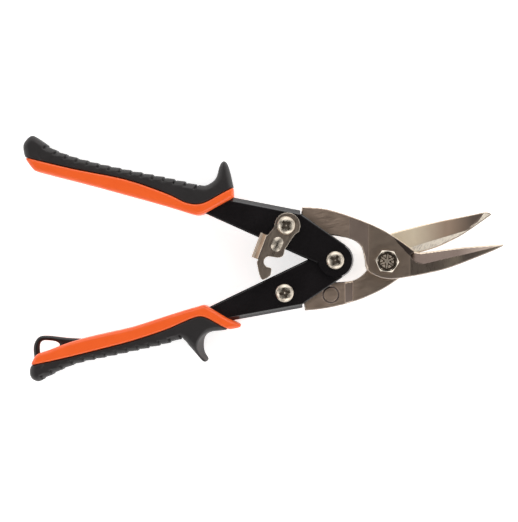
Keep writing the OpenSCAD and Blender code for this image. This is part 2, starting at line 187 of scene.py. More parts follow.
def add_studio():
    """The camera, the room, four softboxes and the floor."""
    bpy.context.scene.view_settings.view_transform = "Standard"
    add_camera()
    add_world()
    for name, azimuth, elevation, power in (
        ("box_top", 100, 48, 2.0),
        ("box_left", 190, 40, 1.4),
        ("box_bottom", 280, 40, 1.4),
        ("box_right", 10, 40, 1.4),
    ):
        softbox(name, azimuth, elevation, power)
    add_floor()


# Materials ------------------------------------------------------------------------------------


class Paint:
    """A Principled material whose colour, roughness and bump come from noise on the piece."""

    def __init__(self, name, colour, rough, **settings):
        self.material = bpy.data.materials.new(name)
        self.material.use_nodes = True
        self.tree = self.material.node_tree
        self.shader = self.tree.nodes["Principled BSDF"]
        self.shader.inputs["Base Color"].default_value = (*colour, 1)
        self.shader.inputs["Roughness"].default_value = rough
        self.colour = None
        self.normal = None
        for key, value in settings.items():
            socket = key.replace("_", " ").title().replace("Ior", "IOR")
            self.shader.inputs[socket].default_value = value
        self.place = self.tree.nodes.new("ShaderNodeTexCoord").outputs["Object"]

    def link(self, source, socket):
        self.tree.links.new(source, socket)

    def noise(self, size, stretch=(1, 1, 1), turn=0.0, detail=3.0):
        """Noise with features about size metres wide, longer along an axis of high stretch."""
        mapping = self.tree.nodes.new("ShaderNodeMapping")
        mapping.vector_type = "TEXTURE"
        mapping.inputs["Rotation"].default_value = (0, 0, math.radians(turn))
        mapping.inputs["Scale"].default_value = stretch
        self.link(self.place, mapping.inputs["Vector"])
        noise = self.tree.nodes.new("ShaderNodeTexNoise")
        noise.inputs["Scale"].default_value = 1 / size
        noise.inputs["Detail"].default_value = detail
        self.link(mapping.outputs["Vector"], noise.inputs["Vector"])
        return noise.outputs["Fac"]

    def cells(self, size):
        """Distance to the nearest of the points of a cellular pattern, size metres apart."""
        cells = self.tree.nodes.new("ShaderNodeTexVoronoi")
        cells.inputs["Scale"].default_value = 1 / size
        self.link(self.place, cells.inputs["Vector"])
        return cells.outputs["Distance"]

    def along(self, turn=0.0):
        """Metres from the jaw pivot along the direction turn, in degrees, in plan."""
        mapping = self.tree.nodes.new("ShaderNodeMapping")
        mapping.vector_type = "TEXTURE"
        mapping.inputs["Location"].default_value = PIVOT["jaw_pivot"]
        mapping.inputs["Rotation"].default_value = (0, 0, math.radians(turn))
        self.link(self.place, mapping.inputs["Vector"])
        split = self.tree.nodes.new("ShaderNodeSeparateXYZ")
        self.link(mapping.outputs["Vector"], split.inputs["Vector"])
        return split.outputs["X"]

    def span(self, value, low, high, to_low, to_high):
        return spread(self.tree, value, low, high, to_low, to_high)

    def tint(self, share, colour):
        """Mixes colour over what the base colour is so far, by share."""
        mix = self.tree.nodes.new("ShaderNodeMix")
        mix.data_type = "RGBA"
        self.link(share, mix.inputs["Factor"])
        base = self.shader.inputs["Base Color"]
        if self.colour is None:
            mix.inputs["A"].default_value = base.default_value
        else:
            self.link(self.colour, mix.inputs["A"])
        mix.inputs["B"].default_value = (*colour, 1)
        self.colour = mix.outputs["Result"]
        self.link(self.colour, base)

    def rough(self, value):
        self.link(value, self.shader.inputs["Roughness"])

    def bump(self, height, depth, strength=1.0):
        """Adds relief depth metres deep where height goes from 0 to 1."""
        bump = self.tree.nodes.new("ShaderNodeBump")
        bump.inputs["Distance"].default_value = depth
        bump.inputs["Strength"].default_value = strength
        self.link(height, bump.inputs["Height"])
        if self.normal is not None:
            self.link(self.normal, bump.inputs["Normal"])
        self.normal = bump.outputs["Normal"]
        self.link(self.normal, self.shader.inputs["Normal"])


def steel(name, colour, stain, rough, grain_turn, grain_depth=0.004 * MM, bands=()):
    """Ground steel: lines along the direction grain_turn, in degrees, and patchy heat tint. Each
    band is the span of X from the pivot over which a colour takes over: painted light and shade."""
    paint = Paint(name, colour, rough, metallic=1.0)
    patches = paint.noise(9 * MM, detail=4)
    paint.tint(paint.span(patches, 0.38, 0.68, 0, 0.85), stain)
    for low, high, band in bands:
        paint.tint(paint.span(paint.along(), low, high, 0, 1), band)
    lines = paint.noise(0.16 * MM, stretch=(26, 1, 1), turn=grain_turn, detail=2)
    fine = paint.noise(0.35 * MM, detail=2)
    paint.rough(paint.span(lines, 0.3, 0.7, rough - 0.07, rough + 0.09))
    paint.bump(lines, grain_depth)
    paint.bump(fine, grain_depth)
    return paint.material


def serrated(name, colour, pit):
    """A shear land with fine teeth rolled across the edge."""
    paint = Paint(name, colour, 0.6, metallic=1.0)
    teeth = paint.noise(0.45 * MM, stretch=(1, 3, 1), turn=-25, detail=1)
    paint.tint(paint.span(teeth, 0.54, 0.68, 0, 0.7), pit)
    paint.rough(paint.span(teeth, 0.3, 0.7, 0.66, 0.5))
    paint.bump(teeth, 0.05 * MM)
    return paint.material


def nickel(name, colour, rough):
    """Bright plating with faint ripple and handling marks."""
    paint = Paint(name, colour, rough, metallic=1.0)
    marks = paint.noise(0.5 * MM, stretch=(5, 1, 1), turn=35, detail=4)
    paint.tint(paint.span(paint.noise(3 * MM), 0.4, 0.7, 0, 0.5), tuple(0.82 * c for c in colour))
    paint.rough(paint.span(marks, 0.35, 0.7, rough * 0.7, rough * 1.5))
    paint.bump(paint.noise(1.2 * MM, detail=2), 0.01 * MM)
    return paint.material


def enamel(name, colour, ior):
    """Gloss black powder coat with orange peel."""
    paint = Paint(name, colour, 0.24, ior=ior)
    peel = paint.noise(0.9 * MM, detail=1.5)
    paint.tint(paint.span(paint.noise(14 * MM), 0.4, 0.7, 0, 1), tuple(1.5 * c for c in colour))
    paint.rough(paint.span(peel, 0.3, 0.7, 0.16, 0.26))
    paint.bump(peel, 0.012 * MM)
    return paint.material


def plastic(name, colour, shade, rough):
    """Moulded plastic with a fine spark-eroded skin."""
    paint = Paint(name, colour, rough, coat_weight=0.1, coat_roughness=0.2)
    paint.tint(paint.span(paint.noise(12 * MM), 0.35, 0.7, 0, 0.8), shade)
    grain = paint.noise(0.22 * MM, detail=2)
    paint.rough(paint.span(grain, 0.3, 0.7, rough - 0.06, rough + 0.08))
    paint.bump(grain, 0.012 * MM)
    paint.bump(paint.noise(6 * MM, detail=1), 0.03 * MM)
    return paint.material


def rubber(name, colour, dust):
    """Soft overlay with a pebbled satin skin that holds a little dust."""
    paint = Paint(name, colour, 0.46, sheen_weight=0.05, sheen_roughness=0.4)
    paint.tint(paint.span(paint.noise(5 * MM, detail=5), 0.42, 0.75, 0, 0.6), dust)
    pebbles = paint.cells(0.42 * MM)
    paint.rough(paint.span(pebbles, 0, 0.6, 0.40, 0.54))
    paint.bump(pebbles, 0.02 * MM)
    return paint.material


# Blade flats: the band is painted light and shade, lighter along the tang and darker from 18 to 6
# mm behind the pivot onwards
BLADE = steel(
    "blade_ground", (0.76, 0.58, 0.46), (0.66, 0.50, 0.395), 0.35, 12,
    bands=((-18 * MM, -6 * MM, (0.53, 0.415, 0.33)),),
)
BLADE_RIM = steel("blade_rim", (0.64, 0.55, 0.45), (0.54, 0.46, 0.38), 0.26, 12)
# Jaw slopes painted dark as painted shade, with a band of painted light 36 to 50 mm ahead of the
# pivot
BLADE_SLOPE_SHADE_AND_LIGHT = steel(
    "blade_slope_painted_shade_and_light", (0.14, 0.108, 0.095), (0.12, 0.092, 0.08), 0.32, 102,
    bands=((36 * MM, 50 * MM, (0.26, 0.21, 0.18)),),
)
# Painted shade: steep side walls, the stamped ring's groove and the facet behind the near cutting
# edge are painted near black
BLADE_PAINTED_SHADE = steel("blade_painted_shade", (0.11, 0.086, 0.074), (0.09, 0.071, 0.062), 0.38, 102)
# Painted shade: gently sloped faces, the joggles and the roundings, are painted darker than the
# flats
BLADE_JOGGLE_SHADE = steel("blade_joggle_painted_shade", (0.33, 0.255, 0.215), (0.28, 0.215, 0.185), 0.36, 102)
# The jaws' flats are painted darker than the other flats as painted shade, with bands of painted
# light and shade along the jaw
BLADE_TAPER_SHADE_AND_LIGHT = steel(
    "blade_taper_painted_shade_and_light", (0.32, 0.26, 0.215), (0.28, 0.225, 0.185), 0.33, 102,
    bands=(
        (25 * MM, 34 * MM, (0.50, 0.41, 0.32)),
        (36 * MM, 40 * MM, (0.26, 0.21, 0.18)),
        (44 * MM, 56 * MM, (0.44, 0.35, 0.26)),
    ),
)
# The far jaw's up-facing slopes: a painted highlight, near white by the pivot, turning brown and
# then dark towards the tip as painted shade
FAR_FACE_LIGHT_AND_SHADE = steel(
    "far_face_painted_light_and_shade", (0.99, 0.86, 0.66), (0.95, 0.80, 0.60), 0.44, 102,
    bands=((14 * MM, 30 * MM, (0.52, 0.38, 0.285)), (32 * MM, 44 * MM, (0.19, 0.148, 0.122))),
)
BLADE_GLINT = steel("blade_glint", (0.47, 0.40, 0.35), (0.39, 0.33, 0.29), 0.40, 12)
LAND = serrated("shear_land", (1.0, 0.92, 0.80), (0.62, 0.54, 0.46))
LATCH = steel("latch_satin", (0.57, 0.465, 0.38), (0.47, 0.38, 0.31), 0.33, 70)
LATCH_RIM = steel("latch_rim", (0.60, 0.53, 0.45), (0.52, 0.45, 0.38), 0.22, 70)
BOLT = steel("bolt_steel", (0.70, 0.61, 0.51), (0.60, 0.52, 0.44), 0.36, 0)
BOLT_RIM = steel("bolt_rim", (0.62, 0.56, 0.48), (0.54, 0.49, 0.42), 0.20, 0)
NICKEL = nickel("nickel_plate", (0.50, 0.445, 0.375), 0.24)
NICKEL_RIM = nickel("nickel_rim", (0.56, 0.51, 0.44), 0.16)
# Painted shade: the bottoms of the cross recesses and of the bolt's dish are painted near black
RECESS_SHADE = steel("recess", (0.11, 0.09, 0.07), (0.07, 0.055, 0.045), 0.42, 0)
SPRING = steel("spring_wire", (0.42, 0.40, 0.38), (0.34, 0.32, 0.30), 0.30, 0)
ENAMEL = enamel("black_enamel", (0.0062, 0.0052, 0.0058), 1.55)
# Painted highlight: a lighter, more reflective copy of the enamel for the channels' bends away from
# the hub
ENAMEL_BEND_HIGHLIGHT = enamel("black_enamel_bend_painted_highlight", (0.012, 0.011, 0.013), 1.6)
# Painted shade: a darker copy of the enamel that hardly reflects, for the sheets' other rounded
# edges
ENAMEL_EDGE_SHADE = enamel("black_enamel_edge_painted_shade", (0.004, 0.0035, 0.004), 1.1)
# Grey steel on the rounded edges right of the hub: partly bare metal of the cut sheet, partly a
# painted highlight
SHEET_EDGE_HIGHLIGHT = steel("sheet_edge_painted_highlight", (0.34, 0.33, 0.33), (0.24, 0.235, 0.24), 0.30, 0)
ORANGE = plastic("orange_plastic", (0.90, 0.122, 0.015), (0.86, 0.108, 0.012), 0.38)
LOOP = plastic("loop_plastic", (0.004, 0.0035, 0.004), (0.006, 0.0055, 0.006), 0.4)
RUBBER = rubber("grip_rubber", (0.009, 0.0072, 0.0076), (0.015, 0.012, 0.0124))


# Pieces made from CAD nodes: the same faces, with rounded edges -------------------------------


def piece(name, mesh, body, slot, *nodes):
    """Puts a finished mesh in the scene as a piece that stands for CAD nodes."""
    obj = bpy.data.objects.new(name, mesh)
    bpy.context.scene.collection.objects.link(obj)
    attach(obj, body)
    if nodes:
        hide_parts(*nodes)
    return obj


def body_of(node):
    return frame["nodes"][node]["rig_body"]


def slot_of(node):
    return next(s["material_slot"] for s in frame["record"]["subparts"] if s["node"] == node)


def finished(node, bm, materials, sharp):
    """Puts a reworked CAD node's mesh in the scene. Faces meet sharply over sharp degrees."""
    mesh = bpy.data.meshes.new(node + "_finished")
    bm.to_mesh(mesh)
    bm.free()
    for material in materials:
        mesh.materials.append(material)
    mesh.set_sharp_from_angle(angle=math.radians(sharp))
    return piece(node + "_finished", mesh, body_of(node), slot_of(node), node)


def dress(node, materials, rim, sharp=28, choose=None, outer=0):
    """A copy of a CAD node with its sharp edges rounded over rim, and those of its outermost flats
    over outer. The roundings take the second material, unless choose(face) says otherwise."""
    bm = bmesh.new()
    bm.from_mesh(frame["nodes"][node].data)
    bmesh.ops.remove_doubles(bm, verts=bm.verts, dist=WELD)
    bmesh.ops.dissolve_limit(bm, angle_limit=math.radians(0.4), verts=bm.verts, edges=bm.edges)
    bm.normal_update()
    for face in bm.faces:
        face.smooth = True

    def round_off(width, segments, levels=None):
        """Rounds the sharp edges, or only those that lie in one of the levels."""
        edges = [e for e in bm.edges if e.is_manifold and e.calc_face_angle() > math.radians(sharp)]
        if levels:
            edges = [e for e in edges if {round(v.co.z, 5) for v in e.verts} in levels]
        bmesh.ops.bevel(
            bm, geom=edges, offset=width, offset_type="OFFSET", segments=segments, profile=0.5,
            affect="EDGES", clamp_overlap=False, material=1,
        )

    if outer:
        low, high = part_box(node)
        round_off(outer, 3, ({round(low.z, 5)}, {round(high.z, 5)}))
    round_off(rim, 2)
    if choose:
        bm.normal_update()
        for face in bm.faces:
            face.material_index = choose(face)
    obj = finished(node, bm, materials, 50)
    shade = obj.modifiers.new("shade", "WEIGHTED_NORMAL")
    shade.keep_sharp = True


def dress_steel():
    """The latch, the bent channels and the plain turned parts."""
    dress("latch_hook", (LATCH, LATCH_RIM), 0.25 * MM)
    for node in ("pivot_nut", "pivot_washer"):
        dress(node, (BOLT, BOLT_RIM), 0.18 * MM)
    hub = middle("handle_pivot_screw")
    sheet = (ENAMEL, ENAMEL_BEND_HIGHLIGHT, ENAMEL_EDGE_SHADE, SHEET_EDGE_HIGHLIGHT)

    def sheet_place(face):
        """Where a face of the bent sheet is, as its finish's place in sheet. Flats keep the enamel;
        bends away from the hub get a painted highlight, rounded edges right of the hub grey steel
        that is partly a painted highlight, and the other sloped faces painted shade.
        """
        level, spot = abs(face.normal.z), face.calc_center_median()
        round_hub = (spot - hub).xy.length < 11 * MM
        if level > (0.97 if round_hub else 0.96) or level < 0.05:
            return sheet.index(ENAMEL)
        if round_hub and spot.x > hub.x + 3 * MM:
            return sheet.index(SHEET_EDGE_HIGHLIGHT)
        if not round_hub and level > 0.55 and abs(spot.y - hub.y) > 12 * MM:
            return sheet.index(ENAMEL_BEND_HIGHLIGHT)
        return sheet.index(ENAMEL_EDGE_SHADE)

    for node in ("upper_handle_channel", "lower_handle_channel"):
        dress(node, sheet, 0.4 * MM, sharp=40, choose=sheet_place, outer=0.9 * MM)
    for node in (
        "upper_link_nut", "lower_link_nut", "handle_pivot_nut", "latch_washer", "tang_spacers",
        "handle_pivot_bush",
    ):
        dress(node, (NICKEL, NICKEL_RIM), 0.12 * MM)


# Fasteners: turned below the head, with a shaped top ------------------------------------------


def turned_profile(node, axis):
    """(radius, height) down a turned CAD node from the seat of its head, read from its corners."""
    corners = np.array([v.co for v in frame["nodes"][node].data.vertices])
    radius = np.hypot(corners[:, 0] - axis.x, corners[:, 1] - axis.y)
    seat = corners[radius > 0.97 * radius.max(), 2].min()
    levels = {}
    for r, z in zip(radius, corners[:, 2]):
        if z < seat + 0.01 * MM and r > 0.5 * MM:
            levels.setdefault(round(float(z), 5), set()).add(round(float(r), 5))
    profile = [(float(radius.max()), float(seat))]
    for z in sorted(levels, reverse=True):
        near = min(levels[z], key=lambda r: abs(r - profile[-1][0]))
        far = max(levels[z], key=lambda r: abs(r - near))
        profile.append((near, z))
        if far != near:
            profile.append((far, z))
    return profile[1:]


def eased(profile, ease):
    """The profile with each corner cut back by ease on both sides."""
    points = [np.array(profile[0])]
    for before, at, after in zip(profile, profile[1:], profile[2:]):
        before, at, after = np.array(before), np.array(at), np.array(after)
        for other in (before, after):
            way = other - at
            size = np.linalg.norm(way)
            points.append(at + way / size * min(ease, 0.4 * size))
    return points + [np.array(profile[-1])]


def headed(node, materials, edge, top, mark, rings=30, sectors=120):
    """A fastener with a CAD node's shank. Its head's edge is edge(angle) from the axis, its top is
    top(x, y) above the seat, and mark(x, y) says which material is there."""
    axis = middle(node)
    profile = turned_profile(node, axis)
    seat = profile[0][1]
    angles = [2 * math.pi * k / sectors for k in range(sectors)]
    reach = min(edge(a) for a in angles)
    bm = bmesh.new()

    def ring(radius, height):
        """Vertices at radius(angle) from the axis and at height(x, y)."""
        places = [(radius(a) * math.cos(a), radius(a) * math.sin(a)) for a in angles]
        return [bm.verts.new((axis.x + x, axis.y + y, height(x, y))) for x, y in places]

    centre = bm.verts.new((axis.x, axis.y, seat + top(0, 0)))
    loops = []
    for i in range(1, rings + 1):
        share = i / rings
        swell = smooth_step(share, 0.8, 1)
        loops.append(ring(
            lambda a: reach * share * (1 + (edge(a) / reach - 1) * swell),
            lambda x, y: seat + top(x, y),
        ))
    loops.append(ring(edge, lambda x, y: seat))
    for r, z in eased(profile, 0.12 * MM):
        if r <= reach - 0.1 * MM:
            loops.append(ring(lambda a: r, lambda x, y: z))

    for k in range(sectors):
        bm.faces.new((centre, loops[0][k], loops[0][(k + 1) % sectors]))
    for j, (one, two) in enumerate(zip(loops, loops[1:]), 1):
        for k in range(sectors):
            face = bm.faces.new((one[k], two[k], two[(k + 1) % sectors], one[(k + 1) % sectors]))
            spot = face.calc_center_median() - axis
            face.material_index = 1 if j == rings else mark(spot.x, spot.y) if j < rings else 0
    bm.faces.new(loops[-1][::-1])
    for face in bm.faces:
        face.smooth = True
    bmesh.ops.recalc_face_normals(bm, faces=bm.faces)
    finished(node, bm, materials, 40)


def cross_head(node, turn):
    """A domed screw head with a cross recess turned by turn degrees."""
    low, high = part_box(node)
    radius = (high.x - low.x) / 2
    rise, wall = 2.4 * MM, 0.5 * MM
    arm, width, depth = 2.5 * MM, 0.62 * MM, 1.7 * MM
    c, s = math.cos(math.radians(turn)), math.sin(math.radians(turn))

    def in_cross(x, y):
        """How far along and across the cross's nearer arm."""
        u, v = abs(c * x + s * y), abs(c * y - s * x)
        return max(u, v), min(u, v)

    def top(x, y):
        r = math.hypot(x, y)
        dome = wall + (rise - wall) * math.sqrt(max(1 - (r / radius) ** 2, 0))
        far, across = in_cross(x, y)
        arms = fade(across, width - 0.12 * MM, width + 0.2 * MM)
        arms *= fade(far, arm - 0.25 * MM, arm + 0.1 * MM)
        core = fade(r, 1.0 * MM, 1.3 * MM)
        return dome - depth * (1 - 0.55 * far / arm) * max(arms, core)

    def mark(x, y):
        r, (far, across) = math.hypot(x, y), in_cross(x, y)
        # The cross and the middle of the recess are painted dark as painted shade
        cut = (far < arm and across < width) or r < 1.25 * MM
        return 2 if cut and r > 0.35 * MM else 0

    headed(node, (NICKEL, NICKEL_RIM, RECESS_SHADE), lambda a: radius, top, mark, rings=36)


def bolt_head():
    """The pivot bolt's hexagon, with a dished top and six plain ribs."""
    flat, height, turn = 5.3 * MM, 4 * MM, -5
    dish, sunk_by, rib_rise, petal_rise = 4.55 * MM, 1.1 * MM, 0.7 * MM, 0.35 * MM

    def edge(a):
        part = (math.degrees(a) - turn) % 60 - 30
        return min(flat / math.cos(math.radians(part)), flat * 1.13)

    def top(x, y):
        r, a = math.hypot(x, y), math.degrees(math.atan2(y, x))
        crown = height - 0.75 * max(r - flat * 0.97, 0)
        spoke = abs((a - 25) % 60 - 30)
        gap = r * math.sin(math.radians(30 - spoke)) if spoke < 30 else 0
        rib = fade(gap, 0.28 * MM, 0.55 * MM) * fade(r, 3.6 * MM, 3.9 * MM)
        petal = smooth_step(r, 1.9 * MM, 2.3 * MM) * fade(r, 3.2 * MM, 3.6 * MM)
        petal *= smooth_step(gap, 0.75 * MM, 1.0 * MM)
        sunk = fade(r, dish - 0.3 * MM, dish + 0.05 * MM)
        return crown - sunk * (sunk_by - rib_rise * rib - petal_rise * petal)

    def mark(x, y):
        if math.hypot(x, y) > dish - 0.2 * MM:
            return 1
        # The deep middle of the dish is painted dark as painted shade
        return 2 if top(x, y) < height - 0.95 * MM else 0

    headed("pivot_bolt", (BOLT, BOLT_RIM, RECESS_SHADE), edge, top, mark, rings=44)


def rivet_head():
    """The latch rivet's long round head."""
    short, long, turn = 2.65 * MM, 3.75 * MM, 67.5
    rise, wall = 1.1 * MM, 0.2 * MM

    def edge(a):
        b = a - math.radians(turn)
        u, v = abs(math.cos(b)), abs(math.sin(b))
        half = long - short
        if v > 0 and short / v * u <= half:
            return short / v
        p = half * u
        return p + math.sqrt(max(p * p - half * half + short * short, 0))

    def top(x, y):
        share = min(math.hypot(x, y) / edge(math.atan2(y, x)), 1)
        return wall + (rise - wall) * (1 - share ** 1.5)

    headed("latch_rivet", (NICKEL, NICKEL_RIM), edge, top, lambda x, y: 0, rings=20)


def fasteners():
    """The screws, each turned its own way, the bolt and the rivet."""
    cross_head("upper_link_screw", 40)
    cross_head("lower_link_screw", 15)
    cross_head("handle_pivot_screw", 60)
    bolt_head()
    rivet_head()


# Blades, grips and loop: meshed from rounded outlines -----------------------------------------

# Grid of the grips and the loop, grid of the blades, how many points are measured at once, and
# a height from mid-plane that is clear of everything
STEP = 0.4 * MM
FINE = 0.25 * MM
BATCH = 4000
CLEAR = 20 * MM


def loops_at(node, z):
    """The closed outlines of a CAD node's cut at height z, each an array of XY points."""
    bm = bmesh.new()
    bm.from_mesh(frame["nodes"][node].data)
    bmesh.ops.remove_doubles(bm, verts=bm.verts, dist=WELD)
    everything = bm.verts[:] + bm.edges[:] + bm.faces[:]
    cut = bmesh.ops.bisect_plane(bm, geom=everything, plane_co=(0, 0, z), plane_no=(0, 0, 1))
    left = {e for e in cut["geom_cut"] if isinstance(e, bmesh.types.BMEdge)}
    loops = []
    while left:
        edge = left.pop()
        walk = list(edge.verts)
        while True:
            edge = next((e for e in walk[-1].link_edges if e in left), None)
            if edge is None:
                break
            left.remove(edge)
            walk.append(edge.other_vert(walk[-1]))
        loops.append(np.array([v.co.xy for v in walk[:-1]]))
    bm.free()
    return sorted(loops, key=len, reverse=True)


def run(loop, start, end):
    """The stretch of a closed outline from one of its points to another, going forward."""
    i, j = (int(np.argmin(np.linalg.norm(loop - spot, axis=1))) for spot in (start, end))
    return loop[i:j + 1] if j >= i else np.concatenate([loop[i:], loop[:j + 1]])


def two_ways(loop, start, end):
    """Both stretches of a closed outline from start to end."""
    return run(loop, start, end), run(loop[::-1], start, end)


def smoothed(line, width):
    """The line with points STEP apart, its kinks eased over width and its ends kept."""
    length = np.concatenate([[0], np.cumsum(np.linalg.norm(np.diff(line, axis=0), axis=1))])
    count = max(int(length[-1] / STEP), 8)
    at = np.linspace(0, length[-1], count)
    even = np.stack([np.interp(at, length, line[:, k]) for k in (0, 1)], axis=1)
    reach = max(int(3 * width / STEP), 1)
    weights = np.exp(-0.5 * (np.arange(-reach, reach + 1) * STEP / width) ** 2)
    weights /= weights.sum()
    before = 2 * even[0] - even[reach:0:-1]
    after = 2 * even[-1] - even[-2:-reach - 2:-1]
    padded = np.concatenate([before, even, after])
    return np.stack([np.convolve(padded[:, k], weights, "valid") for k in (0, 1)], axis=1)


def to_segments(points, line, closed):
    """For each point, its distance to a line, the place along it, and the side that it is on."""
    a = line if closed else line[:-1]
    way = (np.roll(line, -1, axis=0) if closed else line[1:]) - a
    size = np.maximum((way ** 2).sum(1), 1e-18)
    start = np.concatenate([[0], np.cumsum(np.sqrt(size))[:-1]])
    distance, along, side = (np.empty(len(points)) for _ in range(3))
    for first in range(0, len(points), BATCH):
        batch = slice(first, first + BATCH)
        part = points[batch, None, :] - a[None]
        t = np.clip((part * way).sum(2) / size, 0, 1)
        gap = part - t[..., None] * way
        squared = (gap ** 2).sum(2)
        best = squared.argmin(1)
        rows = np.arange(len(best))
        distance[batch] = np.sqrt(squared[rows, best])
        along[batch] = start[best] + t[rows, best] * np.sqrt(size[best])
        g = gap[rows, best]
        side[batch] = np.sign(way[best, 0] * g[:, 1] - way[best, 1] * g[:, 0])
    return distance, along, side


def signed_outline(points, loop):
    """Distance to a closed outline, negative inside it."""
    distance, _, _ = to_segments(points, loop, True)
    a, b = loop, np.roll(loop, -1, axis=0)
    inside = np.zeros(len(points), bool)
    for p, q in zip(a, b):
        spans = (p[1] > points[:, 1]) != (q[1] > points[:, 1])
        rise = q[1] - p[1] if q[1] != p[1] else 1e-12
        cross = p[0] + (points[:, 1] - p[1]) * (q[0] - p[0]) / rise
        inside ^= spans & (points[:, 0] < cross)
    return np.where(inside, -distance, distance)


def lengthened(line, extra):
    """The line with both ends carried straight on."""
    first = line[0] + (line[0] - line[3]) / np.linalg.norm(line[0] - line[3]) * extra
    last = line[-1] + (line[-1] - line[-4]) / np.linalg.norm(line[-1] - line[-4]) * extra
    return np.concatenate([[first], line, [last]])


def rounded(outline, z, half, reach, rise):
    """The field of an outline's field carried up to +-half, its edges rounded over reach
    sideways and rise in height."""
    a = (outline + reach) / reach
    b = (np.abs(z) - (half - rise)) / rise
    outer = np.hypot(np.maximum(a, 0), np.maximum(b, 0))
    return (outer + np.minimum(np.maximum(a, b), 0) - 1) * reach


def both(a, b, blend):
    """Where both fields hold, with the edge between them eased over blend."""
    h = np.maximum(blend - np.abs(a - b), 0) / blend
    return np.maximum(a, b) + h * h * blend / 4


def surface_net(field, low, step):
    """Vertices and quads of the surface where a field on a grid from low is 0."""
    shape = np.array(field.shape) - 1
    total = np.zeros((int(shape.prod()), 3))
    hits = np.zeros(int(shape.prod()))
    strides = np.array([shape[1] * shape[2], shape[2], 1])
    walls = []
    for axis in range(3):
        a = np.take(field, range(field.shape[axis] - 1), axis)
        b = np.take(field, range(1, field.shape[axis]), axis)
        at = np.argwhere((a < 0) != (b < 0))
        others = [k for k in range(3) if k != axis]
        at = at[((at[:, others] > 0) & (at[:, others] < shape[others])).all(1)]
        first, second = a[tuple(at.T)], b[tuple(at.T)]
        spot = at.astype(float)
        spot[:, axis] += first / (first - second)
        ring = []
        for shift in ((0, 0), (1, 0), (1, 1), (0, 1)):
            cell = at.copy()
            cell[:, others[0]] -= shift[0]
            cell[:, others[1]] -= shift[1]
            index = cell @ strides
            ring.append(index)
            for k in range(3):
                total[:, k] += np.bincount(index, spot[:, k], len(hits))
            hits += np.bincount(index, minlength=len(hits))
        quads = np.stack(ring, axis=1)
        flip = (first < 0) == (axis == 1)
        quads[flip] = quads[flip][:, ::-1]
        walls.append(quads)
    used = np.flatnonzero(hits)
    number = np.full(len(hits), -1)
    number[used] = np.arange(len(used))
    vertices = total[used] / hits[used, None] * step + low
    return vertices, number[np.concatenate(walls)]


class Plan:
    """A grid over an outline's box, with its points in plan and its heights from mid-plane."""

    def __init__(self, low, high, bottom, top, step=STEP):
        margin = 3 * step
        self.step = step
        self.low = np.array([*low, MID_Z + bottom]) - margin
        high = np.array([*high, MID_Z + top]) + margin
        x, y, z = (np.arange(self.low[k], high[k], step) for k in range(3))
        self.shape = (len(x), len(y), 1)
        self.points = np.stack(np.meshgrid(x, y, indexing="ij"), axis=2).reshape(-1, 2)
        self.z = (z - MID_Z)[None, None, :]

    def laid(self, values):
        return values.reshape(self.shape)

    def mesh(self, name, field, *materials):
        """The surface where field is 0."""
        vertices, quads = surface_net(field, self.low, self.step)
        mesh = bpy.data.meshes.new(name)
        mesh.from_pydata(vertices.tolist(), [], quads.tolist())
        for material in materials:
            mesh.materials.append(material)
        mesh.shade_smooth()
        return mesh


def heights(node, plan, inside, way):
    """A CAD node's top (way 1) or bottom (way -1) at each point of a plan, from mid-plane, carried
    outwards past its outline."""
    bm = bmesh.new()
    bm.from_mesh(frame["nodes"][node].data)
    tree = BVHTree.FromBMesh(bm)
    bm.free()
    values = np.full(len(plan.points), np.nan)
    inward = Vector((0, 0, -way))
    for i in np.flatnonzero(inside):
        hit = tree.ray_cast(Vector((*plan.points[i], MID_Z + way * CLEAR)), inward)[0]
        if hit is not None:
            values[i] = hit.z - MID_Z
    grid = values.reshape(plan.shape[:2])
    for _ in range(5):
        padded = np.pad(grid, 1, constant_values=np.nan)
        around = np.stack(
            [padded[1:-1, :-2], padded[1:-1, 2:], padded[:-2, 1:-1], padded[2:, 1:-1]]
        )
        known = np.isfinite(around)
        mean = np.where(known, around, 0).sum(0) / np.maximum(known.sum(0), 1)
        grid = np.where(np.isfinite(grid) | (known.sum(0) == 0), grid, mean)
    return np.nan_to_num(grid, nan=0.0)[:, :, None]


BLADE_ROUNDING = 0.5 * MM
# Heights from mid-plane, on a blade's own side, of the cuts whose outlines together bound it
BLADE_LEVELS = (0.92 * MM, 0.3 * MM, 1.45 * MM)
# Centre and radius of the ring stamped in the far blade's tang, in mm from the pivot; its groove
# is painted shade
STAMP = (-28.2, -16.9, 3.95)
# The facet behind the near blade's cutting edge, painted dark as painted shade, in mm from the
# pivot
SHADED_FACET = (
    (2.4, 13.6), (9, 12.5), (15.6, 4.6), (14.9, 2.2), (15.4, 0), (13.6, 0.6), (11.2, 3.2),
    (8.2, 6.4), (5.4, 9.4),
)


def blade(node, upper):
    """A blade with its CAD node's outline and faces, its edges rounded over BLADE_ROUNDING."""
    way = -1 if upper else 1
    cuts = [loops_at(node, MID_Z + way * level) for level in BLADE_LEVELS]
    low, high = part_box(node)
    plan = Plan(low[:2], high[:2], low.z - MID_Z, high.z - MID_Z, FINE)
    edge = np.min([signed_outline(plan.points, cut[0]) for cut in cuts], axis=0)
    for bore in cuts[0][1:]:
        edge = np.maximum(edge, -signed_outline(plan.points, bore))
    inside = edge < -0.02 * MM
    top, bottom = (heights(node, plan, inside, side) for side in (1, -1))
    field = both(plan.laid(edge), both(plan.z - top, bottom - plan.z, 0.2 * MM), BLADE_ROUNDING)
    finishes = [
        BLADE, BLADE_RIM, BLADE_SLOPE_SHADE_AND_LIGHT, BLADE_PAINTED_SHADE, BLADE_JOGGLE_SHADE, BLADE_TAPER_SHADE_AND_LIGHT, FAR_FACE_LIGHT_AND_SHADE, LAND,
        BLADE_GLINT,
    ]
    mesh = plan.mesh(node + "_ground", field, *finishes)
    set_finishes(mesh, finishes, plan, edge, upper)
    piece(node + "_ground", mesh, body_of(node), slot_of(node), node)


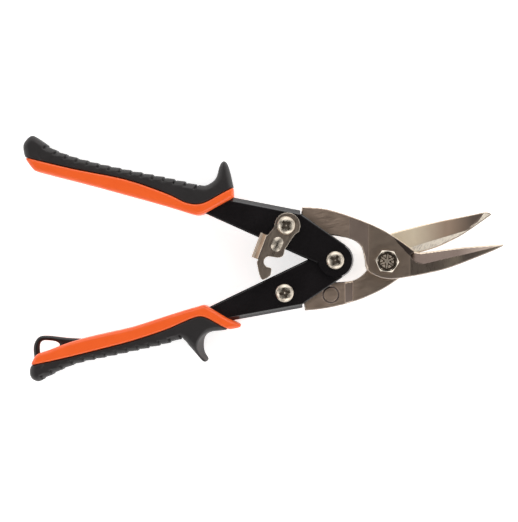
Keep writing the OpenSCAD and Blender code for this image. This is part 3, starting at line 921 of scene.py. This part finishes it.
def set_finishes(mesh, finishes, plan, edge, upper):
    """Gives each face of a blade its finish by its slope and place, the later lines over the
    earlier ones. Most finishes are painted light and shade: darker slopes and walls, lit and
    shaded bands on the jaws, and a painted highlight along the outer lower rims."""
    centres = np.array([p.center for p in mesh.polygons])
    up = np.array([p.normal.z for p in mesh.polygons])
    level = np.abs(up)
    ahead = centres - PIVOT["jaw_pivot"]
    jaw = (ahead[:, 0] > (2 if upper else 12) * MM) & (ahead[:, 1] > (1 if upper else -20) * MM)
    cell = np.round((centres[:, :2] - plan.low[:2]) / FINE).astype(int)
    at_rim = plan.laid(edge)[cell[:, 0], cell[:, 1], 0] > -0.7 * MM
    # Rims below this line, along a blade's outer lower edge, get BLADE_GLINT, a painted highlight
    lean, drop = (0.33, 9 * MM) if upper else (0.21, 4.5 * MM)
    outside = ahead[:, 1] < lean * ahead[:, 0] - drop
    # Faces start as painted shade; flatter faces get lighter finishes below
    index = np.full(len(up), finishes.index(BLADE_PAINTED_SHADE), np.int32)

    def finish(where, material):
        index[where] = finishes.index(material)

    # Painted shade on steep and gently sloped faces, painted light and shade on the jaws' slopes
    # and flats, painted highlight on the far jaw's face
    finish(level > 0.9, BLADE_JOGGLE_SHADE)
    finish(level > 0.985, BLADE)
    finish(jaw & (level > 0.8), BLADE_SLOPE_SHADE_AND_LIGHT)
    finish(jaw & (level > 0.985), BLADE_TAPER_SHADE_AND_LIGHT)
    if upper:
        finish(jaw & (up > 0.8), FAR_FACE_LIGHT_AND_SHADE)
        finish(jaw & (up > 0.9995), LAND)
        # The stamped ring's groove is painted shade
        stamp = np.hypot(ahead[:, 0] - STAMP[0] * MM, ahead[:, 1] - STAMP[1] * MM)
        finish((np.abs(stamp - STAMP[2] * MM) < 0.45 * MM) & (up > 0.3), BLADE_PAINTED_SHADE)
    else:
        # The facet behind the near cutting edge is painted shade
        shaded_facet = signed_outline(ahead[:, :2], np.array(SHADED_FACET) * MM) < 0
        finish(shaded_facet & (up > 0.98), BLADE_PAINTED_SHADE)
    finish(at_rim & (level < 0.93), BLADE_RIM)
    finish(at_rim & outside & (up > 0.3), BLADE_GLINT)
    mesh.polygons.foreach_set("material_index", index)


# Half the thickness of a grip's body and of its overlay
CORE_HALF = 11.5 * MM
RUBBER_HALF = 11.0 * MM
# The overlay's ribs, the hollow beside them, and half the groove where body and overlay part
RIB_PITCH = 5.6 * MM
RIB_DEPTH = 1.25 * MM
HOLLOW_DEPTH = 0.45 * MM
PARTING_GAP = 0.08 * MM
# Centre, radius and lean with height of the hollow in front of the lower grip's guard
GUARD_HOLLOW = ((-22.6 * MM, -44.4 * MM), 8 * MM, (-3.6 * MM, -0.6 * MM))


def grip_outlines(core, overlay):
    """The lines of a grip from its rear end to its tip: where core and overlay part, the core's
    free side and the overlay's free side."""
    above = MID_Z + 9 * MM
    core_loop = loops_at(core, above)[0]
    rubber_loop = loops_at(overlay, above)[0]
    apart = [np.linalg.norm(rubber_loop - p, axis=1).min() for p in core_loop]
    shared = core_loop[np.array(apart) < 0.01 * MM]
    rear, tip = shared[shared[:, 0].argmin()], shared[shared[:, 0].argmax()]
    ways = two_ways(core_loop, rear, tip)
    gaps = [max(np.linalg.norm(shared - p, axis=1).min() for p in way) for way in ways]
    parting = smoothed(ways[int(gaps[1] < gaps[0])], 0.8 * MM)
    inner = smoothed(ways[int(gaps[1] >= gaps[0])], 0.5 * MM)
    ways = two_ways(loops_at(overlay, MID_Z)[0], rear, tip)
    far = [to_segments(way, core_loop, True)[0].mean() for way in ways]
    outer = smoothed(ways[int(far[1] > far[0])], 0.6 * MM)
    return parting, inner, outer


def rib_relief(plan, outer, rib_from, rib_to):
    """How deep the overlay's skin lies below its plain form: slanted notches along its free side
    and a shallow hollow beside them."""
    depth, along, _ = to_segments(plan.points, outer, False)
    depth, along = plan.laid(depth), plan.laid(along)
    slant = along + 0.45 * depth
    share = (slant - rib_from) / RIB_PITCH % 1
    pad = smooth_step(share, 0.0, 0.16) * fade(share, 0.90, 1.0) * (0.5 + 0.5 * share)
    ribbed = smooth_step(slant, rib_from - 1 * MM, rib_from) * fade(slant, rib_to, rib_to + 1 * MM)
    hollow = smooth_step(slant, rib_from - 2 * MM, rib_from + 14 * MM)
    hollow *= fade(slant, rib_to - 18 * MM, rib_to - 2 * MM)
    band = fade(depth, 2.2 * MM, 3.2 * MM)
    return ribbed * (1 - pad) * band * RIB_DEPTH + hollow * (1 - band) * HOLLOW_DEPTH


def grip(which, rib_from, rib_to, scoop=None):
    """One handle's hard body and its overlay, ribbed from rib_from to rib_to along its free side.
    scoop is the centre, the radius and the lean of a hollow in front of the guard."""
    core, overlay = which + "_grip_core", which + "_grip_rubber"
    parting, inner, outer = grip_outlines(core, overlay)
    whole = np.concatenate([outer, inner[::-1][1:-1]])
    plan = Plan(whole.min(0), whole.max(0), -CORE_HALF, CORE_HALF)
    edge = plan.laid(signed_outline(plan.points, whole))
    gap, _, side = to_segments(plan.points, lengthened(parting, 30 * MM), False)
    outward = np.sign(to_segments(outer[len(outer) // 2][None], parting, False)[2][0])
    past = plan.laid(gap * side * outward)

    body = rounded(edge, plan.z, CORE_HALF, 1.9 * MM, 2.4 * MM)
    skin = rounded(edge, plan.z, RUBBER_HALF, 3.0 * MM, 4.2 * MM)
    skin = skin + rib_relief(plan, outer, rib_from, rib_to)
    if scoop:
        centre, radius, lean = scoop
        share = np.abs(plan.z) / RUBBER_HALF
        away = [plan.laid(plan.points[:, k]) - centre[k] - lean[k] * share for k in (0, 1)]
        skin = both(skin, radius - np.hypot(*away), 1.0 * MM)
    for node, field, material in (
        (core, both(body, past + PARTING_GAP, 0.9 * MM), ORANGE),
        (overlay, both(skin, PARTING_GAP - past, 0.7 * MM), RUBBER),
    ):
        mesh = plan.mesh(node + "_moulded", field, material)
        piece(node + "_moulded", mesh, body_of(node), slot_of(node), node)


def hang_loop():
    """The rounded wire-like loop at the rear of the lower grip."""
    loops = loops_at("hang_loop", MID_Z)
    low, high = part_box("hang_loop")
    half = (high.z - low.z) / 2
    plan = Plan(loops[0].min(0), loops[0].max(0), -half, half)
    edge = signed_outline(plan.points, loops[0])
    for hole in loops[1:]:
        edge = np.maximum(edge, -signed_outline(plan.points, hole))
    field = rounded(plan.laid(edge), plan.z, half, 1.3 * MM, 1.5 * MM)
    mesh = plan.mesh("hang_loop_moulded", field, LOOP)
    piece("hang_loop_moulded", mesh, body_of("hang_loop"), slot_of("hang_loop"), "hang_loop")


# Spring: two halves that meet in the coil and turn with the two handles -----------------------

# Radii of the wire, the coil and the tangs' ends, and how the wire is shared between the handles
WIRE_R = 0.8 * MM
COIL_R = 4.5 * MM
COIL_PITCH = 1.7 * MM
COIL_STEPS = 120
UPPER_SHARE = 0.85
TANG_R = 6.2 * MM


def swept(name, path, radius, sides=16):
    """A round wire along the points of path, with closed ends."""
    path = np.array(path)
    ahead = np.gradient(path, axis=0)
    ahead /= np.linalg.norm(ahead, axis=1)[:, None]
    across = np.cross((0, 0, 1), ahead)
    across /= np.linalg.norm(across, axis=1)[:, None]
    up = np.cross(ahead, across)
    bm = bmesh.new()
    angles = [2 * math.pi * k / sides for k in range(sides)]
    rings = [
        [bm.verts.new(centre + radius * (a * math.cos(t) + b * math.sin(t))) for t in angles]
        for centre, a, b in zip(path, across, up)
    ]
    for one, two in zip(rings, rings[1:]):
        for k in range(sides):
            bm.faces.new((one[k], one[(k + 1) % sides], two[(k + 1) % sides], two[k])).smooth = True
    bm.faces.new(rings[0][::-1])
    bm.faces.new(rings[-1])
    bmesh.ops.recalc_face_normals(bm, faces=bm.faces)
    mesh = bpy.data.meshes.new(name)
    bm.to_mesh(mesh)
    bm.free()
    mesh.materials.append(SPRING)
    return mesh


def torsion_spring():
    """The coil round the handle pivot, with a leg against each link screw's side of the handles."""
    hub = np.array([*middle("handle_pivot_screw").xy, MID_Z])
    ends = [np.array(PIVOT[name]) - hub for name in ("upper_link", "lower_link")]
    angles = [math.atan2(e[1], e[0]) % (2 * math.pi) for e in ends]
    arm = np.linalg.norm(ends[0])
    lean = math.asin((TANG_R + WIRE_R + 0.05 * MM - COIL_R) / arm)
    start = angles[0] + lean + math.pi / 2
    end = angles[1] - lean - math.pi / 2 + 6 * math.pi
    turns = np.linspace(start, end, COIL_STEPS + 1)
    rises = COIL_PITCH * ((turns - start) - (end - start) / 2) / (2 * math.pi)
    coil = [hub + (COIL_R * math.cos(t), COIL_R * math.sin(t), z) for t, z in zip(turns, rises)]
    leg = arm + 1.2 * MM

    def leg_points(foot, angle):
        """Points down a straight leg to its foot on the coil."""
        reach = np.array([math.cos(angle), math.sin(angle), 0]) * leg
        return [foot + reach * share for share in (1, 0.75, 0.5, 0.25, 0.08)]

    split = int(COIL_STEPS * UPPER_SHARE)
    upper = leg_points(coil[0], start - math.pi / 2) + coil[:split + 1]
    lower = coil[split:] + leg_points(coil[-1], end + math.pi / 2)[::-1]
    for name, path, body, nodes in (
        ("spring_coil", upper, "upper_handle", ["torsion_spring"]),
        ("spring_leg", lower, "lower_handle", []),
    ):
        piece(name, swept(name, path, WIRE_R), body, "spring_steel", *nodes)


add_studio()
dress_steel()
fasteners()
blade("lower_jaw_blade", upper=False)
blade("upper_jaw_blade", upper=True)
grip("upper", 22.7 * MM, 101.1 * MM)
grip("lower", 14 * MM, 86.8 * MM, GUARD_HOLLOW)
hang_loop()
torsion_spring()
